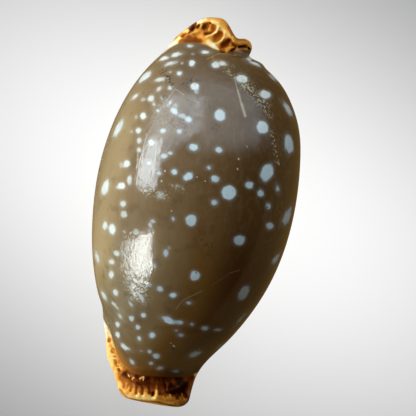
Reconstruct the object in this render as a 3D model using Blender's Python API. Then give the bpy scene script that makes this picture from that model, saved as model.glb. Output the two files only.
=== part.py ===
"""Cowrie shell, one piece: a domed shell rolled in on itself over a long toothed slit.

Frame: +X towards the columellar side (the inner lip), +Y towards the posterior end,
+Z up through the dome, with the origin on the resting plane under the middle.
Sizes below are millimetres, and the finished vertices are scaled to metres.
"""
import bmesh
import bpy
import numpy as np

MM = 0.001

# Driving dimensions
FRONT_END = -34.3          # anterior rim, where the siphon comes out
BACK_END = 31.0            # posterior rim beside the crest, which stands out further
MIDDLE_SHIFT = 0.14        # moves the finished shell along Y, so that the origin is under its middle
RIM_DEPTH = 1.8            # how far in from each end the rim is rounded
SLIT_HALF_WIDTH = 1.6      # half of the gap between the lips, mid shell
TOOTH_COUNT = 25
TOOTH_DEPTH = 0.22         # share of half the wall that a groove between teeth sinks
TEETH_SHARE = 0.028        # share of the way round the outside that the teeth run out on the base
COLLAR_RIB_DEPTH = 0.2     # share of half the wall that the furrows of the end collars sink
FRONT_RIBS = -31.6         # the row of ribs inside the anterior collar
BACK_PITS = 29.3           # the chain of pits at the foot of the posterior crest
LEDGE_WIDTH = 1.3          # outer lip's thickened edge, seen beside the dome's front left
LEDGE_REACH = 1.5          # how far that edge swells out of the side of the dome
LEDGE_ANGLE = 197.0
LEDGE_SPREAD = 13.0
FOOT_BEND = 0.045          # how the dome's front foot curves back to both sides of its middle
FOOT_MIDDLE = -2.5
OUTER_BASE_POWER = 2.5     # superellipse power of the base: above 2 it is flatter, with rounder sides
INNER_BASE_POWER = 2.2
REST_ROUNDING = 0.35       # height over which the base curves off into the flat that it rests on

# Grid
ROWS_PER_TOOTH = 3
TEETH_FROM, TEETH_TO = -28.2, 26.8
OUTER_COLUMNS = 36
INNER_COLUMNS = 12
CAP_COLUMNS = 3

# Outlines along the shell: (place along Y, value)
LEFT_EDGE = [(-34.3, -7.1), (-32.0, -8.25), (-30.4, -9.05), (-28.0, -10.5), (-25.0, -11.3), (-22.0, -12.3),
             (-20.0, -12.85), (-14.0, -14.9), (-4.0, -17.0), (4.0, -17.4), (12.0, -16.5), (20.0, -14.0),
             (24.0, -11.8), (28.0, -9.1), (31.0, -7.6)]
RIGHT_EDGE = [(-34.3, 5.0), (-31.0, 5.2), (-28.0, 5.7), (-25.5, 6.9), (-22.0, 9.4), (-18.0, 11.9), (-12.0, 14.7),
              (-4.0, 16.8), (4.0, 17.4), (12.0, 16.85), (18.0, 15.45), (22.0, 13.35), (26.0, 9.5), (27.1, 8.0),
              (27.9, 6.8), (28.4, 5.2), (28.8, 5.0), (29.5, 5.2), (31.0, 5.4)]
DOME_TOP = [(-34.3, 9.2), (-32.6, 9.6), (-31.2, 8.9), (-30.2, 8.5), (-29.2, 9.6), (-27.0, 12.6), (-24.0, 15.7),
            (-20.0, 18.9), (-14.0, 22.8), (-6.0, 26.6), (3.0, 28.1), (10.0, 27.3), (16.0, 25.0), (21.0, 21.5),
            (25.0, 17.0), (27.4, 12.8), (28.6, 10.4), (29.4, 10.2), (30.2, 11.2), (31.0, 11.0)]
WIDEST_HEIGHT = [(-34.3, 5.8), (-29.0, 6.0), (-18.0, 8.2), (0.0, 9.8), (14.0, 9.4), (24.0, 7.6), (31.0, 6.4)]
BASE_HEIGHT = [(-34.3, 2.2), (-28.0, 1.0), (-20.0, -0.8), (-8.0, -1.7), (8.0, -1.7), (20.0, -0.6), (27.0, 1.1),
               (31.0, 2.4)]
HOLLOW_LEFT = [(-34.3, -4.6), (-28.0, -5.2), (-20.0, -8.2), (-10.0, -11.4), (4.0, -13.2), (14.0, -11.8),
               (22.0, -7.4), (27.0, -3.2), (31.0, -1.2)]
HOLLOW_RIGHT = [(-34.3, 1.4), (-28.0, 1.8), (-20.0, 4.8), (-10.0, 9.0), (4.0, 11.6), (14.0, 10.4), (22.0, 6.8),
                (27.0, 4.2), (31.0, 3.5)]
HOLLOW_TOP = [(-34.3, 7.4), (-30.0, 6.4), (-26.0, 9.6), (-20.0, 15.8), (-12.0, 21.6), (3.0, 26.2), (13.0, 24.4),
              (20.0, 19.4), (25.0, 12.6), (28.5, 7.8), (31.0, 7.6)]
HOLLOW_BASE = [(-34.3, 4.4), (-20.0, 4.4), (0.0, 4.6), (20.0, 4.5), (31.0, 4.9)]
SLIT_MIDDLE = [(-34.3, -1.6), (-22.0, -2.5), (-8.0, -3.1), (6.0, -2.5), (16.0, -1.2), (24.0, 0.3), (31.0, 1.2)]
# The posterior rim in plan, beyond BACK_END: (place along X, how much further the rim reaches)
CREST = [(-9.0, 0.0), (-6.9, 0.8), (-5.05, 2.1), (-3.45, 2.8), (-1.85, 3.0), (-0.35, 2.8), (1.0, 1.5), (2.2, 0.2),
         (3.5, 0.3), (4.7, 0.15), (6.0, -0.3)]


def curve(points, at):
    """Cubic spline through (place, value) points, its slopes solved so that it also bends evenly."""
    place, value = np.array(points, dtype=float).T
    step = np.diff(place)
    chord = np.diff(value) / step
    count = len(place)
    equations = np.zeros((count, count))
    known = np.zeros(count)
    equations[0, :2] = 2.0, 1.0
    equations[-1, -2:] = 1.0, 2.0
    known[0], known[-1] = 3.0 * chord[0], 3.0 * chord[-1]
    for k in range(1, count - 1):
        equations[k, k - 1:k + 2] = step[k], 2.0 * (step[k - 1] + step[k]), step[k - 1]
        known[k] = 3.0 * (step[k] * chord[k - 1] + step[k - 1] * chord[k])
    slope = np.linalg.solve(equations, known)
    k = np.clip(np.searchsorted(place, at) - 1, 0, count - 2)
    t = np.clip((at - place[k]) / step[k], 0.0, 1.0)
    return (value[k] * (1 + 2 * t) * (1 - t) ** 2 + value[k + 1] * t * t * (3 - 2 * t)
            + step[k] * (slope[k] * t * (1 - t) ** 2 - slope[k + 1] * t * t * (1 - t)))


def rise(low, high, at):
    """Smooth step from 0 at low to 1 at high."""
    t = np.clip((at - low) / (high - low), 0.0, 1.0)
    return t * t * (3 - 2 * t)


def bell(middle, spread, at):
    """Smooth hump, 1 at the middle."""
    return np.exp(-((at - middle) / spread) ** 2)


def power(base, exponent):
    """Power of the size of a number, with its sign kept."""
    return np.sign(base) * np.abs(base) ** exponent


def base_angle(reach, half_width, exponent):
    """Angle below the widest line at which a superellipse's base is this far out from its middle."""
    share = np.clip(reach / half_width, -0.96, 0.96)
    return np.arccos(power(share, exponent / 2.0))


def slit_half(y):
    """Half the gap between the lips, a little wider in the canals at both ends."""
    return SLIT_HALF_WIDTH + 0.3 * rise(-22.0, -30.0, y)


def lip_bulge(y):
    """How far the rounded lip stands out into the slit, past the end of the flat base."""
    return 2.2 - 1.4 * rise(-20.0, -31.0, y) - 1.6 * rise(18.0, 29.0, y)


def ring_angle(share, y, middle, half, base_power):
    """Angle round the wall's section, from the right lip (share 0) over the dome to the left lip
    (share 1): 0 is the right side's widest point and 90 degrees the dome's top."""
    slit = curve(SLIT_MIDDLE, y)
    open_half = slit_half(y) + lip_bulge(y)
    first = -base_angle(slit + open_half - middle, half, base_power)
    last = 2 * np.pi - base_angle(slit - open_half - middle, half, base_power)
    return first + share * (last - first)


def ring_x(angle, middle, half, base_power):
    """Place across the section: an ellipse above the widest line, a squarer superellipse below."""
    exponent = np.where(np.sin(angle) >= 0, 2.0, base_power)
    return middle + half * power(np.cos(angle), 2 / exponent)


def ring_z(angle, top, widest, base, base_power):
    """Height in the section, from its top down to its base."""
    upper = np.sin(angle) >= 0
    reach = np.where(upper, top - widest, widest - base)
    return widest + reach * power(np.sin(angle), 2 / np.where(upper, 2.0, base_power))


def rested(z):
    """Heights with a flat to rest on: 0 below -REST_ROUNDING, a parabola up to REST_ROUNDING, and
    as they were above it."""
    share = np.clip(z / REST_ROUNDING, -1.0, 1.0)
    return np.where(z > REST_ROUNDING, z, REST_ROUNDING * (share + 1.0) ** 2 / 4.0)


def outer_line(share, y):
    """The outside of the wall: x, z and the angle in degrees. The dome's foot at the front curves
    round the collar, the outer lip swells into a ledge there, and the base is flat where it rests."""
    shown = rise(-34.0, -29.0, y) - rise(-23.0, -16.0, y)
    left = curve(LEFT_EDGE, y) + LEDGE_WIDTH * shown
    right = curve(RIGHT_EDGE, y)
    middle = (left + right) / 2
    half = (right - left) / 2
    angle = ring_angle(share, y, middle, half, OUTER_BASE_POWER)
    x = ring_x(angle, middle, half, OUTER_BASE_POWER)
    bent = y - FOOT_BEND * rise(-20.0, -27.0, y) * (x - FOOT_MIDDLE) ** 2
    z = ring_z(angle, curve(DOME_TOP, np.maximum(bent, FRONT_END)), curve(WIDEST_HEIGHT, y),
               curve(BASE_HEIGHT, y), OUTER_BASE_POWER)
    degrees = np.degrees(angle)
    x = x - LEDGE_REACH * shown * bell(LEDGE_ANGLE, LEDGE_SPREAD, degrees)
    return x, rested(z), degrees


def inner_line(share, y):
    """The inside of the wall, round the hollow."""
    left = curve(HOLLOW_LEFT, y)
    right = curve(HOLLOW_RIGHT, y)
    top = curve(HOLLOW_TOP, y)
    base = curve(HOLLOW_BASE, y)
    middle = (left + right) / 2
    half = (right - left) / 2
    angle = ring_angle(share, y, middle, half, INNER_BASE_POWER)
    x = ring_x(angle, middle, half, INNER_BASE_POWER)
    return x, ring_z(angle, top, base + 0.4 * (top - base), base, INNER_BASE_POWER)


def groove(y):
    """1 in each groove between two teeth and 0 on the teeth."""
    tooth = (y - TEETH_FROM) / (TEETH_TO - TEETH_FROM) * TOOTH_COUNT
    inside = rise(TEETH_FROM - 0.3, TEETH_FROM, y) * rise(TEETH_TO + 0.3, TEETH_TO, y)
    return inside * np.clip(np.cos(2 * np.pi * tooth), 0.0, 1.0)


def rim_share(y):
    """Share of the wall's thickness left near an end: a quarter circle down to nothing."""
    depth = np.minimum(y - FRONT_END, BACK_END - y) / RIM_DEPTH
    return np.sqrt(1.0 - (1.0 - np.clip(depth, 0.0, 1.0)) ** 2)


def wall_grid(y):
    """The closed loop of every row: outside, left lip, inside and right lip, as x, y and z grids."""
    outer_share = np.linspace(0.0, 1.0, OUTER_COLUMNS)
    inner_share = np.linspace(1.0, 0.0, INNER_COLUMNS)
    keep = rim_share(y)
    grooved = TOOTH_DEPTH * groove(y)

    x_out, z_out, angle = outer_line(outer_share, y)
    x_in, z_in = inner_line(outer_share, y)
    collar = bell(FRONT_RIBS, 1.2, y) * rise(-10.0, 20.0, angle) * rise(190.0, 160.0, angle)
    collar = collar + bell(BACK_PITS, 0.7, y) * rise(20.0, 50.0, angle) * rise(165.0, 145.0, angle)
    ribs = COLLAR_RIB_DEPTH * collar * (0.5 - 0.5 * np.cos(np.pi * np.arange(OUTER_COLUMNS)))
    lips = grooved * (rise(TEETH_SHARE, 0.0, outer_share) + rise(1.0 - TEETH_SHARE, 1.0, outer_share))
    pits = grooved * 1.5 * bell(LEDGE_ANGLE, LEDGE_SPREAD, angle) * rise(-18.0, -22.0, y)
    scale = keep * (1.0 - ribs - lips - pits)
    outside = ((x_out + x_in) / 2 + scale * (x_out - x_in) / 2, (z_out + z_in) / 2 + scale * (z_out - z_in) / 2)

    x_out, z_out, _ = outer_line(inner_share, y)
    x_in, z_in = inner_line(inner_share, y)
    inside = ((x_out + x_in) / 2 + keep * (x_in - x_out) / 2, (z_out + z_in) / 2 + keep * (z_in - z_out) / 2)

    turn = np.pi * np.arange(1, CAP_COLUMNS + 1) / (CAP_COLUMNS + 1)
    caps = []
    for share, side in ((1.0, 1.0), (0.0, -1.0)):
        x_out, z_out, _ = outer_line(share, y)
        x_in, z_in = inner_line(share, y)
        swing = side * np.cos(turn) * keep * (1.0 - grooved * (1.0 - np.abs(np.cos(turn))))
        reach = lip_bulge(y) * np.sin(turn) * keep * (1.0 - grooved)
        caps.append(((x_out + x_in) / 2 + swing * (x_out - x_in) / 2 + side * reach,
                     (z_out + z_in) / 2 + swing * (z_out - z_in) / 2))
    x = np.concatenate((outside[0], caps[0][0], inside[0], caps[1][0]), axis=1)
    z = np.concatenate((outside[1], caps[0][1], inside[1], caps[1][1]), axis=1)
    along = y + rise(26.5, BACK_END, y) * curve(CREST, x)
    return x, along, z


def shell_mesh():
    """Rows of loops joined into one wall, with a narrow strip of faces closing each end's rim."""
    front = FRONT_END + np.array([0.03, 0.35, 0.9, 1.6, 2.3, 3.0, 3.8, 4.8])
    teeth = np.linspace(TEETH_FROM, TEETH_TO, TOOTH_COUNT * ROWS_PER_TOOTH + 1)
    back = BACK_END - np.array([3.4, 2.6, 2.0, 1.4, 0.9, 0.35, 0.03])
    y = np.concatenate((front, teeth, back))[:, None]
    x, along, z = wall_grid(y)
    rows, columns = x.shape
    points = np.stack((x, along + MIDDLE_SHIFT, z), axis=-1).reshape(-1, 3) * MM

    index = np.arange(rows * columns).reshape(rows, columns)
    ahead = np.roll(index, -1, axis=1)
    faces = np.stack((index[:-1], index[1:], ahead[1:], ahead[:-1]), axis=-1).reshape(-1, 4).tolist()
    inside_start = OUTER_COLUMNS + CAP_COLUMNS
    inside_end = inside_start + INNER_COLUMNS - 1
    per_inner = (OUTER_COLUMNS - 1) / (INNER_COLUMNS - 1)
    for row, front_side in ((0, True), (rows - 1, False)):
        loops = [list(range(OUTER_COLUMNS - 1, inside_start + 1)),
                 list(range(inside_end, columns)) + [0]]
        for k in range(INNER_COLUMNS - 1):
            low, high = round(k * per_inner), round((k + 1) * per_inner)
            loops.append(list(range(low, high + 1)) + [inside_end - k - 1, inside_end - k])
        for loop in loops:
            face = [int(index[row, c]) for c in loop]
            faces.append(face if front_side else face[::-1])
    mesh = bpy.data.meshes.new("shell")
    mesh.from_pydata(points.tolist(), [], faces)
    return mesh


def shell_material():
    """Glossy olive-brown, as the dome's enamel is between its spots."""
    material = bpy.data.materials.new("olive_enamel")
    material.use_nodes = True
    shader = material.node_tree.nodes["Principled BSDF"]
    shader.inputs["Base Color"].default_value = (0.156, 0.114, 0.061, 1.0)
    shader.inputs["Roughness"].default_value = 0.12
    shader.inputs["Metallic"].default_value = 0.0
    return material


for old in list(bpy.data.objects):
    bpy.data.objects.remove(old)
collection = bpy.data.collections.new("cowrie_shell")
bpy.context.scene.collection.children.link(collection)

mesh = shell_mesh()
work = bmesh.new()
work.from_mesh(mesh)
bmesh.ops.recalc_face_normals(work, faces=work.faces)
work.to_mesh(mesh)
work.free()
mesh.materials.append(shell_material())
mesh.shade_smooth()
shell = bpy.data.objects.new("shell", mesh)
collection.objects.link(shell)
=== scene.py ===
import math

import bpy
import numpy as np
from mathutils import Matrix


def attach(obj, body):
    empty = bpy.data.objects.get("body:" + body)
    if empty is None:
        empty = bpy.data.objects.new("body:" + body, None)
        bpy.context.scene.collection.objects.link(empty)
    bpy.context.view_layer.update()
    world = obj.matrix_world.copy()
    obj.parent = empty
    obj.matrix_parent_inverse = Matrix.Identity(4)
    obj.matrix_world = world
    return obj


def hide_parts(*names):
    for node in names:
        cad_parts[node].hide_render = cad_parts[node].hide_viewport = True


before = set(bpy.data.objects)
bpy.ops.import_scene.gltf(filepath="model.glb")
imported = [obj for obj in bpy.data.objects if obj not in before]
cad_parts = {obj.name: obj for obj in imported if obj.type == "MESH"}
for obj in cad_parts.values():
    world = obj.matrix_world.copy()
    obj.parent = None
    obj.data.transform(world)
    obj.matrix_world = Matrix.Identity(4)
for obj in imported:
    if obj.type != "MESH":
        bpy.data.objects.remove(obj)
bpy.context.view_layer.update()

# Camera. It looks straight down on the dome, turned so that the shell's long axis leans 10 degrees
# to the right in the picture, from a hand's reach above the table. The picture's pixels are used
# below to place the markings, so its own measures come first.
MM = 0.001
PICTURE = 416
LEAN = math.radians(10)
CAMERA_HEIGHT = 350 * MM
VIEW_MIDDLE = (2.475 * MM, 1.21 * MM)
VIEW_WIDTH = 72.3 * MM         # what the picture spans at the height of the shell's widest line
WIDEST_AT = 10 * MM
RIGHT = np.array((math.cos(LEAN), math.sin(LEAN)))
UP = np.array((-math.sin(LEAN), math.cos(LEAN)))


def add_object(name, data):
    """Puts a mesh, light or camera into the scene as an object of this name."""
    made = bpy.data.objects.new(name, data)
    bpy.context.scene.collection.objects.link(made)
    return made


camera_data = bpy.data.cameras.new("camera")
camera_data.sensor_width = 36.0
camera_data.angle = 2 * math.atan(VIEW_WIDTH / 2 / (CAMERA_HEIGHT - WIDEST_AT))
camera_data.clip_start = 0.01
camera = add_object("camera", camera_data)
camera.location = (*VIEW_MIDDLE, CAMERA_HEIGHT)
camera.rotation_euler = (0, 0, LEAN)
bpy.context.scene.camera = camera
bpy.context.scene.view_settings.view_transform = "Standard"


def per_metre(height):
    """Pixels of the picture that a metre spans at this height above the table."""
    return PICTURE / VIEW_WIDTH * (CAMERA_HEIGHT - WIDEST_AT) / (CAMERA_HEIGHT - height)


def to_pixels(points):
    """Where points show in the picture: offsets along the camera's right and up, over their depth."""
    level = points[..., :2] - VIEW_MIDDLE
    scale = per_metre(points[..., 2])
    return np.stack((PICTURE / 2 + level @ RIGHT * scale, PICTURE / 2 - level @ UP * scale), axis=-1)


# Shell form. The real piece is one wall of glossy enamelled aragonite that grew in a roll: a dome
# on top, a flat base below, and a long slit between two toothed lips. At each end the wall flares
# into a short collar round a canal. Lengths here are millimetres, scaled when the mesh is made.
FRONT_END = -34.3
BACK_END = 31.0
MIDDLE_SHIFT = 0.14
RIM_DEPTH = 1.8
SLIT_HALF_WIDTH = 1.6
TOOTH_COUNT = 25
TOOTH_DEPTH = 0.2
TEETH_SHARE = 0.028
TEETH_FROM, TEETH_TO = -28.2, 26.8
LEDGE_WIDTH = 1.3
LEDGE_REACH = 1.5
LEDGE_ANGLE = 197.0
LEDGE_SPREAD = 13.0
LEDGE_GROWS, LEDGE_ENDS = (-34.0, -29.0), (-23.0, -16.0)
FOOT_BEND = 0.045
FOOT_MIDDLE = -2.5
OUTER_BASE_POWER = 2.5
INNER_BASE_POWER = 2.2
REST_ROUNDING = 0.35
CREST_FROM = 26.5
FRONT_FINE, BACK_FINE, FINE_EASE = 7.5, 6.0, 1.25
END_ROWS, MIDDLE_ROWS = 85, 160
OUTER_COLUMNS, INNER_COLUMNS, CAP_COLUMNS = 240, 40, 9

LEFT_EDGE = [
    (-34.3, -7.1), (-32.0, -8.25), (-30.4, -9.05), (-28.0, -10.5), (-25.0, -11.3), (-22.0, -12.3),
    (-20.0, -12.85), (-14.0, -14.9), (-4.0, -17.0), (4.0, -17.4), (12.0, -16.5), (20.0, -14.0),
    (24.0, -11.8), (28.0, -9.1), (31.0, -7.6),
]
RIGHT_EDGE = [
    (-34.3, 5.0), (-31.0, 5.2), (-28.0, 5.7), (-25.5, 6.9), (-22.0, 9.4), (-18.0, 11.9), (-12.0, 14.7),
    (-4.0, 16.8), (4.0, 17.4), (12.0, 16.85), (18.0, 15.45), (22.0, 13.35), (26.0, 9.5), (27.1, 8.0),
    (27.9, 6.8), (28.4, 5.2), (28.8, 5.0), (29.5, 5.2), (31.0, 5.4),
]
DOME_TOP = [
    (-34.3, 9.2), (-32.6, 9.6), (-31.2, 8.9), (-30.2, 8.5), (-29.2, 9.6), (-27.0, 12.6), (-24.0, 15.7),
    (-20.0, 18.9), (-14.0, 22.8), (-6.0, 26.6), (3.0, 28.1), (10.0, 27.3), (16.0, 25.0), (21.0, 21.5),
    (25.0, 17.0), (27.4, 12.8), (28.6, 10.4), (29.4, 10.2), (30.2, 11.2), (31.0, 11.0),
]
WIDEST_HEIGHT = [
    (-34.3, 5.8), (-29.0, 6.0), (-18.0, 8.2), (0.0, 9.8), (14.0, 9.4), (24.0, 7.6), (31.0, 6.4),
]
BASE_HEIGHT = [
    (-34.3, 2.2), (-28.0, 1.0), (-20.0, -0.8), (-8.0, -1.7), (8.0, -1.7), (20.0, -0.6), (27.0, 1.1),
    (31.0, 2.4),
]
HOLLOW_LEFT = [
    (-34.3, -4.6), (-28.0, -5.2), (-20.0, -8.2), (-10.0, -11.4), (4.0, -13.2), (14.0, -11.8), (22.0, -7.4),
    (27.0, -3.2), (31.0, -1.2),
]
HOLLOW_RIGHT = [
    (-34.3, 1.4), (-28.0, 1.8), (-20.0, 4.8), (-10.0, 9.0), (4.0, 11.6), (14.0, 10.4), (22.0, 6.8),
    (27.0, 4.2), (31.0, 3.5),
]
HOLLOW_TOP = [
    (-34.3, 7.4), (-30.0, 6.4), (-26.0, 9.6), (-20.0, 15.8), (-12.0, 21.6), (3.0, 26.2), (13.0, 24.4),
    (20.0, 19.4), (25.0, 12.6), (28.5, 7.8), (31.0, 7.6),
]
HOLLOW_BASE = [(-34.3, 4.4), (-20.0, 4.4), (0.0, 4.6), (20.0, 4.5), (31.0, 4.9)]
SLIT_MIDDLE = [
    (-34.3, -1.6), (-22.0, -2.5), (-8.0, -3.1), (6.0, -2.5), (16.0, -1.2), (24.0, 0.3), (31.0, 1.2),
]
CREST = [
    (-9.0, 0.0), (-6.9, 0.8), (-5.05, 2.1), (-3.45, 2.8), (-1.85, 3.0), (-0.35, 2.8), (1.0, 1.5),
    (2.2, 0.2), (3.5, 0.3), (4.7, 0.15), (6.0, -0.3),
]


def curve(points, at):
    """Cubic spline through (place, value) points, its slopes solved so that it also bends evenly."""
    place, value = np.array(points, dtype=float).T
    step = np.diff(place)
    chord = np.diff(value) / step
    count = len(place)
    equations = np.zeros((count, count))
    known = np.zeros(count)
    equations[0, :2] = 2.0, 1.0
    equations[-1, -2:] = 1.0, 2.0
    known[0], known[-1] = 3.0 * chord[0], 3.0 * chord[-1]
    for k in range(1, count - 1):
        equations[k, k - 1:k + 2] = step[k], 2.0 * (step[k - 1] + step[k]), step[k - 1]
        known[k] = 3.0 * (step[k] * chord[k - 1] + step[k - 1] * chord[k])
    slope = np.linalg.solve(equations, known)
    k = np.clip(np.searchsorted(place, at) - 1, 0, count - 2)
    t = np.clip((at - place[k]) / step[k], 0.0, 1.0)
    return (value[k] * (1 + 2 * t) * (1 - t) ** 2 + value[k + 1] * t * t * (3 - 2 * t)
            + step[k] * (slope[k] * t * (1 - t) ** 2 - slope[k + 1] * t * t * (1 - t)))


def rise(low, high, at):
    """Smooth step from 0 at low to 1 at high."""
    t = np.clip((at - low) / (high - low), 0.0, 1.0)
    return t * t * (3 - 2 * t)


def bell(middle, spread, at):
    """Smooth hump, 1 at the middle."""
    return np.exp(-((at - middle) / spread) ** 2)


def power(base, exponent):
    """Power of the size of a number, with its sign kept."""
    return np.sign(base) * np.abs(base) ** exponent


def base_angle(reach, half_width, exponent):
    """Angle below the widest line at which a superellipse's base is this far out from its middle."""
    share = np.clip(reach / half_width, -0.96, 0.96)
    return np.arccos(power(share, exponent / 2.0))


def slit_half(y):
    """Half the gap between the lips, a little wider in the canal at the front end."""
    return SLIT_HALF_WIDTH + 0.3 * rise(-22.0, -30.0, y)


def lip_bulge(y):
    """How far the rounded lip stands out into the slit, past the end of the flat base."""
    return 2.2 - 1.4 * rise(-20.0, -31.0, y) - 1.6 * rise(18.0, 29.0, y)


def ring_angle(share, y, middle, half, base_power):
    """Angle round the wall's section, from the right lip (share 0) over the dome to the left lip
    (share 1): 0 is the right side's widest point and 90 degrees the dome's top."""
    slit = curve(SLIT_MIDDLE, y)
    open_half = slit_half(y) + lip_bulge(y)
    first = -base_angle(slit + open_half - middle, half, base_power)
    last = 2 * np.pi - base_angle(slit - open_half - middle, half, base_power)
    return first + share * (last - first)


def ring_x(angle, middle, half, base_power):
    """Place across the section: an ellipse above the widest line, a squarer superellipse below."""
    exponent = np.where(np.sin(angle) >= 0, 2.0, base_power)
    return middle + half * power(np.cos(angle), 2 / exponent)


def ring_z(angle, top, widest, base, base_power):
    """Height in the section, from its top down to its base."""
    upper = np.sin(angle) >= 0
    reach = np.where(upper, top - widest, widest - base)
    return widest + reach * power(np.sin(angle), 2 / np.where(upper, 2.0, base_power))


def rested(z):
    """Heights with a flat to rest on: 0 below -REST_ROUNDING, a parabola up to REST_ROUNDING, and
    as they were above it."""
    share = np.clip(z / REST_ROUNDING, -1.0, 1.0)
    return np.where(z > REST_ROUNDING, z, REST_ROUNDING * (share + 1.0) ** 2 / 4.0)


def outer_line(share, y):
    """The outside of the wall: x, z and the angle in degrees. The dome's foot at the front curves
    round the collar, the outer lip swells into a ledge there, and the base is flat where it rests."""
    shown = rise(*LEDGE_GROWS, y) - rise(*LEDGE_ENDS, y)
    left = curve(LEFT_EDGE, y) + LEDGE_WIDTH * shown
    right = curve(RIGHT_EDGE, y)
    middle = (left + right) / 2
    half = (right - left) / 2
    angle = ring_angle(share, y, middle, half, OUTER_BASE_POWER)
    x = ring_x(angle, middle, half, OUTER_BASE_POWER)
    bent = y - FOOT_BEND * rise(-20.0, -27.0, y) * (x - FOOT_MIDDLE) ** 2
    z = ring_z(angle, curve(DOME_TOP, np.maximum(bent, FRONT_END)), curve(WIDEST_HEIGHT, y),
               curve(BASE_HEIGHT, y), OUTER_BASE_POWER)
    degrees = np.degrees(angle)
    x = x - LEDGE_REACH * shown * bell(LEDGE_ANGLE, LEDGE_SPREAD, degrees)
    return x, rested(z), degrees


def inner_line(share, y):
    """The inside of the wall, round the hollow."""
    left = curve(HOLLOW_LEFT, y)
    right = curve(HOLLOW_RIGHT, y)
    top = curve(HOLLOW_TOP, y)
    base = curve(HOLLOW_BASE, y)
    middle = (left + right) / 2
    half = (right - left) / 2
    angle = ring_angle(share, y, middle, half, INNER_BASE_POWER)
    x = ring_x(angle, middle, half, INNER_BASE_POWER)
    return x, ring_z(angle, top, base + 0.4 * (top - base), base, INNER_BASE_POWER)


def groove(y):
    """1 in the middle of each groove between two teeth, falling to 0 on the teeth's rounded backs."""
    tooth = (y - TEETH_FROM) / (TEETH_TO - TEETH_FROM) * TOOTH_COUNT
    inside = rise(TEETH_FROM - 0.8, TEETH_FROM, y) * rise(TEETH_TO + 0.8, TEETH_TO, y)
    return inside * (0.5 + 0.5 * np.cos(2 * np.pi * tooth)) ** 1.4


def rim_share(y):
    """Share of the wall's thickness left near an end: a quarter circle down to nothing."""
    depth = np.minimum(y - FRONT_END, BACK_END - y) / RIM_DEPTH
    return np.sqrt(1.0 - (1.0 - np.clip(depth, 0.0, 1.0)) ** 2)


def between(outer, inner, share):
    """Points across the wall: on its outer line where the share is 1, on its inner line at -1."""
    return (outer + inner) / 2 + share * (outer - inner) / 2


# Rows lie close together at the ends, where the collars' ribs and pits are small.
ease = np.linspace(0.0, 1.0, END_ROWS)
front_rows = FRONT_END + 0.01 + FRONT_FINE * ease ** FINE_EASE
back_rows = BACK_END - 0.01 - BACK_FINE * ease[::-1] ** FINE_EASE
middle_rows = np.linspace(front_rows[-1], back_rows[0], MIDDLE_ROWS + 2)[1:-1]
row_y = np.concatenate((front_rows, middle_rows, back_rows))[:, None]

outer_share = np.linspace(0.0, 1.0, OUTER_COLUMNS)
inner_share = np.linspace(1.0, 0.0, INNER_COLUMNS)
keep = rim_share(row_y)
grooved = TOOTH_DEPTH * groove(row_y)

x_out, z_out, outer_angle = outer_line(outer_share, row_y)
x_in, z_in = inner_line(outer_share, row_y)
lips = rise(TEETH_SHARE, 0.0, outer_share) + rise(1.0 - TEETH_SHARE, 1.0, outer_share)
x_parts = [between(x_out, x_in, keep * (1.0 - grooved * lips))]
z_parts = [between(z_out, z_in, keep * (1.0 - grooved * lips))]

turn = np.pi * np.arange(1, CAP_COLUMNS + 1) / (CAP_COLUMNS + 1)
for share, side in ((1.0, 1.0), (0.0, -1.0)):
    x_out, z_out, _ = outer_line(share, row_y)
    x_in, z_in = inner_line(share, row_y)
    swing = side * np.cos(turn) * keep * (1.0 - grooved * (1.0 - np.abs(np.cos(turn))))
    bulge = lip_bulge(row_y) * np.sin(turn) * keep * (1.0 - grooved)
    x_parts.append(between(x_out, x_in, swing) + side * bulge)
    z_parts.append(between(z_out, z_in, swing))
    if side > 0:
        x_out, z_out, _ = outer_line(inner_share, row_y)
        x_in, z_in = inner_line(inner_share, row_y)
        x_parts.append(between(x_in, x_out, keep))
        z_parts.append(between(z_in, z_out, keep))
grid_x = np.concatenate(x_parts, axis=1)
grid_z = np.concatenate(z_parts, axis=1)
grid_y = row_y + rise(CREST_FROM, BACK_END, row_y) * curve(CREST, grid_x)
grid = np.stack((grid_x, grid_y + MIDDLE_SHIFT, grid_z), axis=-1) * MM
rows, columns = grid_x.shape
outside = grid[:, :OUTER_COLUMNS].copy()


def outward(surface):
    """Normals of a grid of points: the cross product of its steps along and round the shell."""
    normal = np.cross(np.gradient(surface, axis=1), np.gradient(surface, axis=0))
    return normal / np.maximum(np.linalg.norm(normal, axis=-1, keepdims=True), 1e-12)


normals = outward(outside)
if normals[rows // 2, OUTER_COLUMNS // 2, 2] < 0:
    normals = -normals
smooth_outside = outside.copy()
seen = normals[..., 2] > 0.02
pixels = to_pixels(outside)


def capsule(places, x0, y0, x1, y1):
    """Distance in pixels from places to the line between two points of the picture."""
    along = np.array((x1 - x0, y1 - y0), dtype=float)
    start = places - np.array((x0, y0))
    share = np.clip((start @ along) / max(along @ along, 1e-9), 0.0, 1.0)
    return np.linalg.norm(start - share[..., None] * along, axis=-1)


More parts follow.
